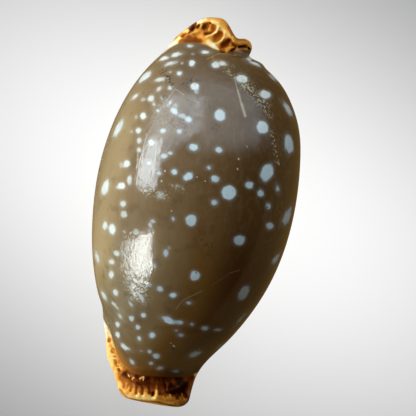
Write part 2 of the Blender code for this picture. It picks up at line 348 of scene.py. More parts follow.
# Relief of the collars, read off the picture: two ends of each stroke in pixels, its radius in
# pixels and its depth in mm, below 0 where it stands up.
BACK_RELIEF = [
    (206.5, 25, 206, 27.5, 3.8, 0.9), (213, 27.5, 214, 30, 3.3, 0.6), (205.5, 34.5, 211, 33.5, 1.7, 0.3),
    (216.5, 38.5, 220.5, 36, 4.0, 0.7), (224, 44, 229, 42.5, 3.2, 0.8), (220, 47, 222, 47, 2.0, 0.3),
    (222, 51, 233, 49.8, 1.3, 0.4), (207, 37, 216, 32.5, 1.3, -0.3), (216, 32.5, 218.5, 27.5, 1.3, -0.3),
    (214, 44, 222, 40.5, 1.4, -0.3), (222, 40.5, 225, 33, 1.5, -0.3), (230.5, 47, 231, 40, 1.3, -0.2),
    (226, 52.3, 233, 47.2, 0.9, -0.15), (192.3, 28.4, 193, 27, 1.7, 0.6),
    (181.5, 35.6, 183, 34.4, 1.5, 0.35), (188.5, 30, 185.5, 33, 1.2, 0.25),
    (197.6, 27, 198.6, 25, 1.3, 0.4), (195, 24.5, 195.4, 23, 1.0, 0.3), (239, 47.3, 247, 46.6, 1.5, 0.35),
    (186, 38, 197, 37.5, 3.0, 0.45), (193, 33.5, 198, 32.5, 1.8, -0.25),
]
FRONT_RELIEF = [
    (108.5, 339.5, 108.5, 340.8, 1.8, 0.22), (112, 349.5, 112.5, 351, 1.9, 0.2),
    (114, 361, 114.5, 363, 2.2, 0.22), (118, 369.5, 118.5, 371, 1.9, 0.2), (120.3, 376, 121, 378, 1.9, 0.2),
    (126, 374, 133, 380, 2.2, 0.35), (134, 380, 152, 382, 3.5, 0.2), (128.5, 385, 127.5, 390, 1.4, 0.12),
    (133, 385, 131, 392, 1.6, 0.15), (137.5, 387, 136, 394, 1.5, 0.16), (143.5, 387, 142.5, 395, 1.6, 0.16),
    (150, 386, 149.5, 394, 1.6, 0.18), (153, 392.5, 152.2, 396, 2.0, 0.7),
    (140.3, 387, 139, 396, 1.2, -0.12), (156.5, 387, 156.3, 397, 1.4, -0.15),
]

sunk = np.zeros((rows, OUTER_COLUMNS))
for x0, y0, x1, y1, radius, depth in BACK_RELIEF + FRONT_RELIEF:
    sunk += depth * bell(0.0, radius, capsule(pixels, x0, y0, x1, y1)) * seen
outside -= normals * (sunk * keep)[..., None] * MM
grid[:, :OUTER_COLUMNS] = outside


# Shell markings. The dome's olive enamel holds milky spots laid down by the mantle, and wears fine
# scratches. They are read off the picture: each spot's middle, width, height and strength.
ROUND_SPOTS = [
    (189, 46.5, 6, 4, .75), (205, 52.5, 8, 4.6, 1), (193, 54, 4, 3, .3), (182, 62.5, 3, 3, .4),
    (192, 63, 7, 7.4, 1), (216, 64.5, 9.5, 7.4, 1), (222, 63, 8.5, 6, 1), (170, 72, 4, 2.5, .6),
    (180, 73.5, 6.5, 5.5, .95), (170, 87.5, 5.5, 5, .8), (195.5, 87, 9, 8, 1), (196, 92, 5, 6, .4),
    (143, 98.5, 6, 5, .4), (151, 98, 7, 6.5, .85), (162, 98, 4, 3, .4), (154, 105, 4, 4, .6),
    (157, 110, 5, 4, .8), (176, 106, 5, 6, .35), (183, 116, 8, 6, .5), (189, 119, 6, 6, .85),
    (219, 115.5, 12, 13, .95), (243, 79.5, 12, 10, 1), (265.5, 95, 12, 9, .95), (252, 57, 7.5, 5.5, .8),
    (262, 128, 13, 14.5, 1), (136, 117.5, 5, 6, .4), (143, 117, 7, 7, .95), (131, 131, 5, 4, .35),
    (137.5, 131, 6.5, 6.5, .95), (140, 140, 5, 6, .7), (138.5, 149.5, 5, 6, .65), (152, 143, 6, 7, .6),
    (163, 130, 8, 5, .8), (180, 131, 6, 5, .65), (195, 147, 10, 8, .95), (219, 150.5, 8, 6.5, .95),
    (127.5, 163.5, 7, 8.5, .95), (121, 165, 5, 7, .35), (148, 164, 6, 5, .5), (164, 156, 9, 6, .7),
    (170, 154, 6, 4, .7), (159, 172, 6, 5, .6), (174.5, 172, 6.5, 6.5, .85), (121, 187, 8, 7, 1),
    (117, 188, 4, 4, .5), (122, 204, 6.5, 7.5, .75), (123.5, 213, 6.5, 7, .65), (112, 230, 9, 11.5, 1),
    (117, 253.5, 7, 6, .75), (209.5, 168, 7, 5.5, .8), (216, 178.5, 9, 8, .9), (228.5, 193.5, 15, 15, 1),
    (215, 203, 7.5, 6.5, .8), (249.5, 185.5, 8, 7.5, .9), (261, 192.5, 7, 8, .85), (267.5, 207, 6, 7, .75),
    (270.5, 225.5, 7.5, 7.5, .8), (172.5, 219, 5, 6, .55), (153, 221, 6, 6, .55), (150, 225, 5, 7, .5),
    (165, 253.5, 6, 9, .65), (168, 247, 5, 5, .2), (196, 275, 10, 10, .85), (112, 262, 7, 6.5, .9),
    (111, 275, 6.5, 9.5, 1), (160.5, 288, 7, 6.5, .75), (155.5, 267, 4, 6, .6), (175, 295, 8, 6.5, 1),
    (188.5, 303.5, 7.5, 4.5, .75), (240.3, 240.3, 12, 10.5, .75), (191.2, 220, 10.5, 12, .75),
    (190.3, 175.6, 8.4, 8, .9), (186.8, 178.2, 8, 7.6, .9), (148, 284, 6, 5, .5), (132.5, 287, 4, 6, .6),
    (134, 296, 4, 6, .6), (115, 292, 5.5, 7, .85), (117.5, 325, 5, 7, .95), (117.5, 334.5, 5.5, 7, 1),
    (131.5, 318, 5.5, 6, .75), (142.5, 315, 5.5, 5.5, .85), (137.5, 327, 5, 5, .75),
    (139, 337.5, 5.5, 6, .85), (152, 336, 6.5, 6.5, .9), (180, 322, 8, 4, .8), (191.5, 325, 5.5, 4, .65),
    (205, 328.5, 7.5, 5, .7), (217.5, 329, 8, 3.5, .5), (176, 330, 5, 3, .45), (181, 336, 7, 5, .65),
    (149, 352, 5, 5, .65), (157, 357, 7, 6.2, .85), (151, 363, 5, 4.6, .65), (161, 368.5, 7, 5, .75),
    (176, 371.5, 8, 4.6, .65), (141, 351, 4, 2, .3), (178, 187, 7, 4, .2), (162, 195, 9, 8, .25),
    (137, 231, 6, 6, .4), (125, 232, 5, 4, .35),
]
# Longer spots, and those that the dome's curve foreshortens: both ends, width and strength.
LONG_SPOTS = [
    (161, 59, 167, 57.5, 4.4, 1), (172, 55.5, 179, 53.5, 4.6, 1), (167, 64, 174, 62, 3.8, .8),
    (141, 80, 148, 74, 5.6, 1), (156, 80.5, 163, 79.5, 4, .75), (158.5, 90, 161.5, 88, 4.2, .7),
    (132.5, 99, 136.5, 96, 3.4, .9), (168, 105, 171, 101, 3.4, .9), (173, 110, 176, 113, 5, .85),
    (115.5, 133, 120.5, 123, 6.2, 1), (250, 61.5, 258, 64.5, 3.4, .95), (272.5, 73.5, 280, 80, 3.4, .75),
    (286, 104, 291, 113, 5.2, .8), (289, 139.5, 289.5, 148.5, 8.5, .9), (103.5, 191, 107, 182, 6.6, 1),
    (104.5, 223, 104, 227, 4, .95), (95.8, 251, 98.2, 260, 3.8, .95), (277, 186, 277.5, 190, 4.2, .85),
    (285.6, 222, 290, 211, 5.6, .75), (268.8, 170, 266.2, 176.4, 10.6, .95), (242, 295.5, 246, 290, 8, .55),
    (274, 262, 278, 255.5, 3.8, .75), (102, 292, 105, 298, 4, 1), (113, 303, 118, 308.5, 2.8, .95),
    (119, 315, 121, 318, 3, .75), (139.5, 296.5, 142, 301.5, 3, .6), (130, 301.5, 132, 305, 3, .6),
    (191, 356.5, 198, 353.5, 5, .75), (123, 346.5, 127, 349, 4.6, 1), (131, 361, 132.5, 363, 3.4, .75),
    (245, 314, 236, 324, 2.6, .35), (129.5, 178, 129, 183, 4, .75), (220, 349, 226, 343, 2, .25),
    (165.5, 318.8, 171.5, 321, 6, .95),
]
SPOT_REACH = 4.0 * MM
LONG_SPOT_HALF = 0.6           # half the width that a long spot gets, over the width stated for it
PIXEL = VIEW_WIDTH / PICTURE / MM       # what a pixel spans, in mm


def surface_place(x, y):
    """Row and column of the seen vertex that shows nearest to a pixel."""
    miss = np.where(seen, np.hypot(pixels[..., 0] - x, pixels[..., 1] - y), 1e9)
    return np.unravel_index(np.argmin(miss), miss.shape)


def flat_offset(spot_at):
    """Offsets of all vertices from a surface point, in pixels of the picture as if the surface
    stayed flat there: steps in its tangent plane, seen along the camera's right and up."""
    middle = outside[spot_at]
    normal = normals[spot_at]
    step = outside - middle
    far = np.linalg.norm(step, axis=-1)
    flat = step - (step @ normal)[..., None] * normal
    length = np.linalg.norm(flat, axis=-1)
    flat = flat * (far / np.maximum(length, 1e-9))[..., None]
    flat = flat[..., :2] * per_metre(middle[2])
    return np.stack((flat @ RIGHT, -flat @ UP), axis=-1), far


spot_edge = np.full((rows, OUTER_COLUMNS), 3.0)
spot_milk = np.zeros((rows, OUTER_COLUMNS))


def lay_spot(edge, far, milk):
    """Adds one spot: its signed distance in mm where it is the nearest, and its strength."""
    nearer = (edge < spot_edge) & (far < SPOT_REACH)
    spot_edge[nearer] = edge[nearer]
    spot_milk[nearer] = milk


for x, y, width, height, milk in ROUND_SPOTS:
    offset, far = flat_offset(surface_place(x, y))
    size = np.hypot(offset[..., 0] / width, offset[..., 1] / height) * 2
    lay_spot((size - 1.0) * min(width, height) / 2 * PIXEL, far, milk)
for x0, y0, x1, y1, width, milk in LONG_SPOTS:
    x, y = (x0 + x1) / 2, (y0 + y1) / 2
    offset, far = flat_offset(surface_place(x, y))
    half_length = math.hypot(x1 - x0, y1 - y0) / 2
    half_width = LONG_SPOT_HALF * width
    forward = (offset @ np.array((x1 - x, y1 - y))) / half_length
    sideways = (offset @ np.array((y - y1, x1 - x))) / half_length
    size = np.hypot(forward / (half_length + half_width), sideways / half_width)
    lay_spot((size - 1.0) * half_width * PIXEL, far, milk)

# Below the dome's widest line, where the picture doesn't reach, smaller spots thin out downwards.
FLANK_SPOTS = 46
chance = np.random.default_rng(7)
for k in range(FLANK_SPOTS):
    side_angle = -chance.uniform(4, 20) if k % 2 else 180 + chance.uniform(3, 18)
    row = int(chance.uniform(END_ROWS, rows - END_ROWS))
    column = int(np.argmin(np.abs(outer_angle[row] - side_angle)))
    offset, far = flat_offset((row, column))
    if spot_edge[row, column] > 0.5:
        lay_spot(far / MM - chance.uniform(0.35, 0.9), far, chance.uniform(0.4, 0.9))

# Callus: the cream and brown shell round the base and at both ends. Where the picture shows its
# edge, the edge is a line in pixels; round the base it follows the section's angle. In mm, above 0
# on the callus.
BACK_EDGE = [
    (150, 64), (160, 55.5), (165, 51.5), (170, 47.5), (175, 44.8), (182, 42.5), (190, 42.3), (200, 43.2),
    (207, 45), (212, 48), (219, 50.5), (226, 52.5), (231, 51.5), (236, 49.8), (243, 49), (249, 50),
    (258, 57),
]
FRONT_EDGE = [
    (92, 300), (99, 312), (103.5, 320), (108, 328), (111, 335), (113.5, 345), (117, 355), (122.5, 364),
    (130, 371), (138, 375), (150, 376.5), (165, 376.5), (178, 377), (187, 376.5), (194, 374.5), (200, 372),
    (215, 366),
]


def beyond(edge, below):
    """Signed distance in mm from a line across the picture, above 0 below it, or else above it."""
    line_x, line_y = np.array(edge).T
    slope = np.interp(pixels[..., 0], (line_x[1:] + line_x[:-1]) / 2, np.diff(line_y) / np.diff(line_x))
    gap = pixels[..., 1] - np.interp(pixels[..., 0], line_x, line_y)
    return (gap if below else -gap) / np.sqrt(1 + slope ** 2) * PIXEL


flat_y = grid_y[:, :OUTER_COLUMNS]
shown_ledge = rise(-33.0, -28.0, row_y) - rise(-23.5, -20.5, row_y)
left_limit = 206.0 - 14.0 * shown_ledge - 16.0 * rise(21.0, 27.0, row_y)
right_limit = -26.0 - 26.0 * rise(-14.0, -24.0, row_y)
around = np.maximum(np.radians(outer_angle - left_limit), np.radians(right_limit - outer_angle)) * 14.0
at_back = np.where(pixels[..., 1] < 120, beyond(BACK_EDGE, False), -9.0)
at_front = np.where(pixels[..., 1] > 290, beyond(FRONT_EDGE, True), -9.0)
hidden_ends = np.maximum(flat_y - 28.5, -29.5 - flat_y)
callus = np.maximum(around, np.where(seen, np.maximum(at_back, at_front), hidden_ends))

# Tone: how brown the callus is, from 0 on its creamiest ridges to 1 in the darkest hollows, with painted
# shade and painted highlights in it. Strokes read off the picture are laid over each other in turn:
# both ends, radius in pixels, tone. Some paint shade, in the front collar's furrow and right half, the
# crevice under the back lump and the saddle below the dome's edge, and four paint the front collar's glints.
BACK_TONES_AND_PAINTED_SHADE = [
    # The next line's three strokes brown the saddle below the dome's edge: partly its own brown, partly
    # painted shade.
    (178, 40.5, 188, 40.5, 3.8, .66), (188, 40, 200, 40.5, 3.6, .76), (188, 37.5, 197, 37.5, 2.8, .76),
    (192, 34.5, 201, 33, 1.8, .48), (201, 34.5, 204.5, 39, 2.4, .44), (197, 35, 200, 36, 1.6, .46),
    (163, 51.5, 176, 42, 2.2, .0), (177, 40, 180.5, 37, 1.6, .12), (183.5, 33, 188, 28.5, 1.9, .2),
    (188, 28.5, 195, 22.5, 2.0, .4), (197, 22, 206, 19.5, 2.0, .02), (208, 18.3, 222, 18.8, 1.5, .34),
    (212, 22, 217, 23.5, 2.0, .12), (222, 20, 229, 27, 2.4, .44), (229, 27, 234, 37, 2.4, .56),
    (217, 25, 222, 30, 2.1, .14), (223, 31, 228, 36, 2.2, .2), (228, 37, 226, 39, 1.8, .34),
    (206.5, 25, 206, 28, 4.4, .72), (204, 24, 209, 23.8, 1.0, .5), (206.5, 27, 208, 25.5, 1.6, .6),
    (202.5, 27.5, 203.5, 29, 1.4, .86), (209.5, 22.5, 210, 24, 1.2, .84), (213, 27.5, 214.5, 30, 3.0, .66),
    (205, 33.6, 211, 33.4, 1.6, .8), (211, 33.5, 214.5, 31.5, 1.2, .76), (216.8, 38, 220.2, 36, 4.4, .67),
    (218.5, 38.5, 220.5, 37, 1.8, .6), (215.5, 35, 220, 33, 1.5, .66), (215, 40, 217, 41, 1.4, .54),
    (224, 44.3, 228.4, 42.5, 3.6, .78), (225.5, 44, 227.5, 43.2, 1.6, .88), (219.5, 47, 224, 48.4, 2.0, .6),
    (231, 42, 234.5, 46.5, 2.6, .76), (232.6, 37, 232.8, 42, 1.1, .26), (207, 36.4, 212, 34.8, 1.0, .14),
    (212, 34.8, 216.5, 31.6, 1.0, .12), (216.5, 31.6, 218.3, 27.5, 1.1, .1),
    (214, 44, 221.5, 40.5, 1.1, .16), (221.5, 40.5, 224.6, 36, 1.1, .16), (224.8, 36, 224.2, 32, 1.2, .2),
    (208.5, 30.5, 210.5, 26, 0.9, .42), (230.2, 46.5, 230.6, 41, 0.8, .5), (204, 43, 206, 43, 2.0, .4),
    (208, 42, 213, 45.6, 2.4, .1), (213, 46, 217.5, 48.4, 1.8, .02), (221, 51, 228, 52, 1.6, .94),
    (228, 52, 234, 49.5, 1.6, .96), (226, 52.6, 230, 49, 0.7, .3), (230, 49, 233.5, 47, 0.7, .34),
    (238, 41, 247, 43, 3.6, .48), (237, 39.4, 245, 40.2, 1.2, .62), (238.5, 43.4, 241, 44.4, 1.1, .3),
    # The next line's first two strokes darken the crevice under the lump: painted shade.
    (239.5, 47.5, 246, 47, 1.5, .9), (248.6, 48, 249.6, 49.2, 1.3, .98), (181.5, 35.8, 183, 34.4, 1.7, .74),
    (188.8, 30.5, 185.2, 33.6, 1.3, .66), (191.4, 29.4, 193.4, 26.4, 2.6, 1.05),
    (190, 31.5, 188.6, 32.6, 1.4, .8), (197.6, 27.4, 198.8, 25, 1.6, .88),
    (194.6, 25.4, 195.6, 22.6, 1.2, .8), (186.4, 32.4, 187.4, 30, 0.9, .2),
    (200.8, 27.4, 201, 24.4, 0.9, .2),
]
FRONT_TONES_AND_PAINTED_LIGHT = [
    (103, 320, 106, 345, 3.0, .02), (106, 345, 113, 368, 3.4, .2), (113, 368, 122, 388, 3.6, .26),
    (110, 338, 113, 348, 2.0, .27), (114, 350, 119, 360, 2.4, .42), (120, 362, 126, 368, 3.0, .48),
    # The darkest strokes on the next four lines are painted shade: they take the furrow at the dome's foot
    # and the collar's right half, which lies in shadow, to dark brown and black.
    (126, 370, 131, 373, 2.6, .62), (124, 376, 150, 380, 6.0, .86), (126, 383, 150, 388, 5.5, .66),
    (138, 382, 152, 385, 4.0, .88), (119, 384, 126, 394, 2.6, .3), (126, 395.5, 156, 398.3, 2.4, .26),
    (152, 377.5, 190, 378, 3.6, .9), (150, 381, 188, 384, 6.0, .95), (186, 379, 192, 377, 3.0, .86),
    (160, 389.5, 186, 392, 6.0, 1.0), (156, 380, 160, 391, 5.0, .86), (158, 398, 186, 401, 2.8, .5),
    (176, 404, 186, 402, 2.2, .58), (189, 394, 191.5, 382, 2.2, .7), (108.6, 339.6, 108.7, 341.4, 1.8, .74),
    (108.7, 340.4, 108.8, 340.6, 0.8, .5), (112, 349.6, 112.2, 351.6, 1.9, .66),
    (112, 350.4, 112.2, 350.7, 0.8, .4), (114.6, 361, 115.2, 363.4, 2.0, .64),
    (118, 369.5, 118.8, 371, 1.6, .66), (120.6, 376.4, 121.4, 378, 1.6, .66),
    (109.6, 345, 111, 345.6, 0.9, .56), (113.4, 356.4, 115.4, 356.8, 0.9, .6),
    (116.2, 366.2, 118.4, 366, 0.9, .6), (118.8, 373.8, 121, 373, 0.9, .56),
    (124.5, 383, 123.2, 387, 1.0, .64), (126.6, 383.5, 125, 388.4, 1.3, .46),
    (128.6, 388, 127.4, 393, 1.4, .44), (130.6, 386, 130, 391, 1.0, .7),
    (133.4, 389.5, 133.2, 394, 1.5, .5), (136.4, 387, 135.8, 394, 1.1, .78),
    (139.4, 390.5, 138.8, 394, 1.4, .6), (139, 394, 138.6, 397, 1.3, .2), (143.2, 386, 142.2, 394, 1.4, .8),
    (146.8, 391, 146, 394, 1.3, .56), (146, 394, 145.6, 397, 1.4, .3), (150, 385, 149.5, 393, 1.6, .88),
    (152.9, 392.6, 152.4, 396, 1.7, 1.05), (157, 386, 156.7, 391, 1.2, .66),
    (156.6, 391, 156.2, 397.5, 1.4, .34), (136.8, 396.3, 137, 397.6, 1.1, .06),
    (142, 397.8, 146, 398.2, 1.0, .18), (153, 398.4, 155, 398.6, 1.0, .14),
    (167.2, 384, 166.8, 390, 1.0, .86), (165, 394, 165.4, 396.4, 1.2, .8), (170, 395, 170.3, 399, 1.2, .44),
    (176.6, 394, 177.2, 398, 1.6, .84), (182, 394, 182.4, 399, 1.1, .66),
    (185.4, 390, 185.6, 397, 1.5, .92), (119.6, 389, 127, 397.6, 0.8, .52),
    (127, 397.8, 141, 401, 0.8, .56), (141, 401, 158, 402, 0.9, .6), (158, 402.3, 176, 406.4, 0.9, .66),
    # The last four strokes, from the one at 127.8, 374.6 on, are painted highlights: pale glints on the front
    # collar.
    (177, 406.6, 186, 404.5, 0.9, .68), (187, 403, 190.5, 391, 0.9, .74), (127.8, 374.6, 129, 376, 0.5, .1),
    (131.4, 378.6, 133.4, 377.2, 0.5, .15), (139.6, 378.8, 143.2, 376.8, 0.5, .0),
    (143.6, 376.8, 143, 380, 0.5, .05),
]
# Wear, read off the picture: strokes of fine pale flecks and strokes of dark ones (both ends, radius
# in pixels, strength), and single scratches and specks (both ends, width in pixels, strength, below
# 0 where they are dark).
SCUFFS = [
    (226, 70, 240, 80, 2.6, .8), (240, 80, 252, 91, 4.6, 1), (252, 91, 264, 105, 4.4, 1),
    (264, 105, 270, 116, 2.4, .8), (272, 132, 277, 162, 1.6, .8), (142, 190, 165, 196, 4, .6),
    (172, 186, 182, 189, 2.5, .4), (160, 122, 186, 128, 7, .18), (126, 266, 142, 298, 8, .3),
    (216, 62, 232, 66, 2.4, .5), (150, 96, 164, 108, 6, .3),
]
DIRT = [
    (164, 71, 171, 82, 4.5, 1), (183, 84, 195, 80, 4, .9), (160, 100, 166, 96, 5, .5),
    (214, 126, 222, 129, 4, .6), (240, 84, 264, 108, 3.4, .8), (205, 100, 215, 108, 5, .4),
    (198, 240, 212, 248, 4, .5),
]
SCRATCHES = [
    (234.6, 78, 238, 92, 1.2, .4), (237.6, 90, 242, 106, 1.9, .5), (241.6, 104, 245.2, 116, 2.7, .55),
    (176, 309, 183, 300, .9, .16), (183, 300, 202, 291, .9, .18), (212, 285, 232, 272, .8, .07),
    (230, 273, 240, 270, .8, .14), (207, 59, 219, 53.5, .9, .22), (219, 53.5, 226, 53.6, .9, .25),
    (226, 53.6, 236, 55.8, .9, .2), (244, 59, 260, 64, .9, .2), (175.4, 89, 166, 101, .9, .3),
    (163, 105, 156, 118, .9, .18), (147, 134, 142, 152, .9, .4), (140.5, 158, 136.4, 184, 1.2, .45),
    (156, 138, 155.4, 160, 1, .2), (175.4, 89, 184, 95, .8, .36), (187, 97, 199, 103, .8, .16),
    (234, 128, 234, 144, .9, .06), (137.6, 150, 136.8, 168, .9, .3), (143, 160, 141.5, 182, 1, .2),
    (149, 176, 149.4, 186, 1, .2), (246.4, 145.6, 247.6, 147.4, .9, .5), (187, 143, 182, 151, 1, -.3),
    (238.5, 158.6, 238.6, 159.4, 1.5, .8), (237.4, 168.6, 237.6, 169.4, 1.5, .7),
    (279, 163.4, 279, 164.6, 1.3, .6), (205, 181, 205.4, 181.2, 1.2, .6), (196.8, 177, 197.2, 177, 1.2, .6),
    (161.4, 180.6, 161.6, 181.4, 1.4, .7), (165, 170.6, 165, 171.4, 1.3, .7),
    (171.4, 210.6, 171.6, 211.2, 1.2, .6), (173, 345.4, 174.6, 346.6, 1.2, .9),
    (170.6, 343, 171.2, 343.2, 1, .7), (172, 348, 174, 349.2, 1.2, -.8),
    (267.4, 206.8, 267.6, 207.2, 1.5, -.9), (195.9, 272.8, 196.1, 273, 1.4, -.9),
    (212, 129, 212.4, 129, 1.3, -.8), (206.6, 244, 207.2, 244, 1.4, -.7),
    (213.6, 128, 214, 128.2, 1.1, -.7),
]
# Where fine wear breaks up what the glaze mirrors: both ends, radius in pixels, strength.
WORN = [
    (130, 236, 136, 296, 13, 1), (148, 276, 140, 296, 10, 1), (148, 236, 146, 262, 8, .35),
    (152, 112, 142, 186, 14, .5), (176, 96, 190, 130, 12, .2), (226, 70, 264, 105, 5, .6),
]


def wear(strokes):
    """Strength of wear at each vertex: that of the strongest of some soft strokes."""
    strongest = np.zeros((rows, OUTER_COLUMNS))
    for x0, y0, x1, y1, radius, strength in strokes:
        stroke = strength * bell(0.0, radius, capsule(pixels, x0, y0, x1, y1)) * seen
        strongest = np.maximum(strongest, stroke)
    return strongest


toothed = groove(row_y) * rise(0.1, 0.04, np.minimum(outer_share, 1 - outer_share))
tone_and_painted_light = 0.1 + 0.62 * toothed + 0.3 * rise(1.5, -1.0, around) * (around > -2)
tone_and_painted_light = tone_and_painted_light + 0.25 * np.maximum(rise(26.0, 29.0, flat_y), rise(-28.0, -31.0, flat_y))
for x0, y0, x1, y1, radius, value in BACK_TONES_AND_PAINTED_SHADE + FRONT_TONES_AND_PAINTED_LIGHT:
    tone_and_painted_light += (value - tone_and_painted_light) * rise(radius * 1.55, radius * 0.35, capsule(pixels, x0, y0, x1, y1)) * seen

index = np.arange(rows * columns).reshape(rows, columns)
ahead = np.roll(index, -1, axis=1)
faces = np.stack((index[:-1], index[1:], ahead[1:], ahead[:-1]), axis=-1).reshape(-1, 4).tolist()
inside_start = OUTER_COLUMNS + CAP_COLUMNS
inside_end = inside_start + INNER_COLUMNS - 1
per_inner = (OUTER_COLUMNS - 1) / (INNER_COLUMNS - 1)
for row, front_side in ((0, True), (rows - 1, False)):
    loops = [list(range(OUTER_COLUMNS - 1, inside_start + 1)), list(range(inside_end, columns)) + [0]]
    for k in range(INNER_COLUMNS - 1):
        low, high = round(k * per_inner), round((k + 1) * per_inner)
        loops.append(list(range(low, high + 1)) + [inside_end - k - 1, inside_end - k])
    for loop in loops:
        face = [int(index[row, c]) for c in loop]
        faces.append(face if front_side else face[::-1])
shell_mesh = bpy.data.meshes.new("shell_skin")
shell_mesh.from_pydata(grid.reshape(-1, 3), [], faces)
shell_mesh.shade_smooth()


def add_field(name, outer_values, rest):
    """Per-vertex number for the material: its values on the outside, and one value elsewhere."""
    values = np.full((rows, columns), float(rest), dtype=np.float32)
    values[:, :OUTER_COLUMNS] = outer_values
    layer = shell_mesh.attributes.new(name, "FLOAT", "POINT")
    layer.data.foreach_set("value", values.ravel())


add_field("spot_edge", spot_edge, 3.0)
add_field("spot_milk", spot_milk, 0.0)
add_field("callus", callus, 5.0)
add_field("tone_and_painted_light", tone_and_painted_light, 0.1)
add_field("scuffed", wear(SCUFFS), 0.0)
add_field("dirty", wear(DIRT), 0.0)
add_field("worn", wear(WORN), 0.0)
shell = add_object("shell_skin", shell_mesh)


# Shell enamel. Clear, hard glaze over olive brown pigment, with milky spots below the glaze and a cream
# to chestnut callus at the ends and underneath. The olive is paler on the left, where the light falls,
# and darker on the shaded right, partly painted light and shade; the spots are painted paler where lit.
class Wire:
    """One socket of a material's nodes. Arithmetic on wires and numbers adds Math nodes."""

    def __init__(self, tree, socket):
        self.tree = tree
        self.socket = socket

    def math(self, operation, first, second=0.0):
        return add_node(self.tree, "ShaderNodeMath", {"operation": operation}, {0: first, 1: second})

    def __add__(self, other):
        return self.math("ADD", self, other)

    def __sub__(self, other):
        return self.math("SUBTRACT", self, other)

    def __rsub__(self, other):
        return self.math("SUBTRACT", other, self)

    def __mul__(self, other):
        return self.math("MULTIPLY", self, other)

    def __truediv__(self, other):
        return self.math("DIVIDE", self, other)

    def __rtruediv__(self, other):
        return self.math("DIVIDE", other, self)

    def highest(self, other):
        return self.math("MAXIMUM", self, other)

    def lowest(self, other):
        return self.math("MINIMUM", self, other)

    def step(self, low, high):
        """Smooth step from 0 at low to 1 at high."""
        return add_node(self.tree, "ShaderNodeMapRange", {"interpolation_type": "SMOOTHSTEP"},
                        {"Value": self, "From Min": low, "From Max": high})

    __radd__ = __add__
    __rmul__ = __mul__


def feed(node, inputs):
    """Gives a node's sockets their values, or links them to wires."""
    for name, value in inputs.items():
        if isinstance(value, Wire):
            value.tree.links.new(value.socket, node.inputs[name])
        else:
            node.inputs[name].default_value = value


def add_node(tree, kind, settings, inputs, output=0):
    """Adds a node: its settings first, then its sockets' values or links. Gives one output's wire."""
    node = tree.nodes.new(kind)
    for name, value in settings.items():
        setattr(node, name, value)
    feed(node, inputs)
    return Wire(tree, node.outputs[output])


def blend(factor, first, second):
    """Colour between two colours."""
    return add_node(factor.tree, "ShaderNodeMix", {"data_type": "RGBA"}, {0: factor, 6: first, 7: second}, 2)


def vector_math(operation, inputs, output=0):
    """Arithmetic on a vector's wire, which is the first input that is one."""
    first = next(value for value in inputs.values() if isinstance(value, Wire))
    return add_node(first.tree, "ShaderNodeVectorMath", {"operation": operation}, inputs, output)


def axis(point, number):
    """One coordinate of a point: 0 is x, 1 is y and 2 is z."""
    return add_node(point.tree, "ShaderNodeSeparateXYZ", {}, {0: point}, number)


def colour(red, green, blue):
    """A screen colour of 0 to 255 as the linear colour that shaders take."""
    share = np.array((red, green, blue)) / 255
    linear = np.where(share <= 0.04045, share / 12.92, ((share + 0.055) / 1.055) ** 2.4)
    return (*linear.tolist(), 1.0)


enamel = bpy.data.materials.new("enamel_olive_spotted")
enamel.use_nodes = True
tree = enamel.node_tree
shader = tree.nodes["Principled BSDF"]
position = add_node(tree, "ShaderNodeTexCoord", {}, {}, "Object")


def field(name):
    """The wire of one of the mesh's own numbers."""
    return add_node(tree, "ShaderNodeAttribute", {"attribute_name": name}, {}, "Fac")


def noise(scale, detail, stretch=(1, 1, 1), offset=(0, 0, 0)):
    """Soft noise around 0.5, its grains this many to a metre, drawn out along an axis if asked."""
    spread = add_node(tree, "ShaderNodeMapping", {}, {
        "Vector": position, "Location": offset, "Scale": stretch})
    return add_node(tree, "ShaderNodeTexNoise", {}, {"Vector": spread, "Scale": scale, "Detail": detail})


# Olive colour from the left edge of the dome to the right: how far across, in half widths, and its
# colour there. Its paler left and darker right are partly painted light and shade, for the light from
# the left. It is paler in the front half's middle and deeper at its right.
BACK_PIGMENT_AND_LIGHT = [
    (-0.88, (0.37, 0.285, 0.148, 1)), (-0.58, (0.24, 0.168, 0.084, 1)), (-0.2, (0.15, 0.1, 0.048, 1)),
    (0.15, (0.126, 0.076, 0.03, 1)), (0.55, (0.08, 0.04, 0.01, 1)),
]
FRONT_PIGMENT_AND_LIGHT = [
    (-0.88, (0.48, 0.375, 0.19, 1)), (-0.58, (0.27, 0.22, 0.125, 1)), (-0.2, (0.185, 0.132, 0.062, 1)),
    (0.15, (0.148, 0.074, 0.016, 1)), (0.55, (0.06, 0.014, 0.0004, 1)),
]
DARK_STREAK = (0.062, 0.03, 0.006, 1)
# EDGE_OLIVE is partly the right margin's own yellower brown, partly painted light from the floor's glow on
# that flank.
EDGE_OLIVE = (0.16, 0.08, 0.012, 1)
FOOT_BROWN = (0.14, 0.066, 0.009, 1)
# Spot colours: lit and shaded copies of one milky white, with the light and shade painted in.
MILK_LIT = (0.78, 0.88, 0.84, 1)
MILK_SHADED_BLUE = (0.56, 0.76, 0.88, 1)
MILK_DIM = (0.45, 0.60, 0.66, 1)
MILK_LIT_BACK = (0.88, 1.0, 1.0, 1)
MILK_HAZE = (0.24, 0.21, 0.15, 1)
PALE_SCRATCH = (0.62, 0.64, 0.50, 1)
DARK_FLECK = (0.02, 0.011, 0.004, 1)
CREAM = colour(255, 252, 224)
STRAW = colour(255, 222, 136)
AMBER = colour(232, 164, 66)
TAN = colour(174, 104, 32)
CHESTNUT = colour(110, 50, 8)
BLACK_BROWN = colour(28, 3, 0)
WARM_SHINE = (1.0, 0.7, 0.42, 1)
MARGIN_AMBER = colour(188, 126, 56)
MARGIN_BROWN = colour(116, 70, 26)

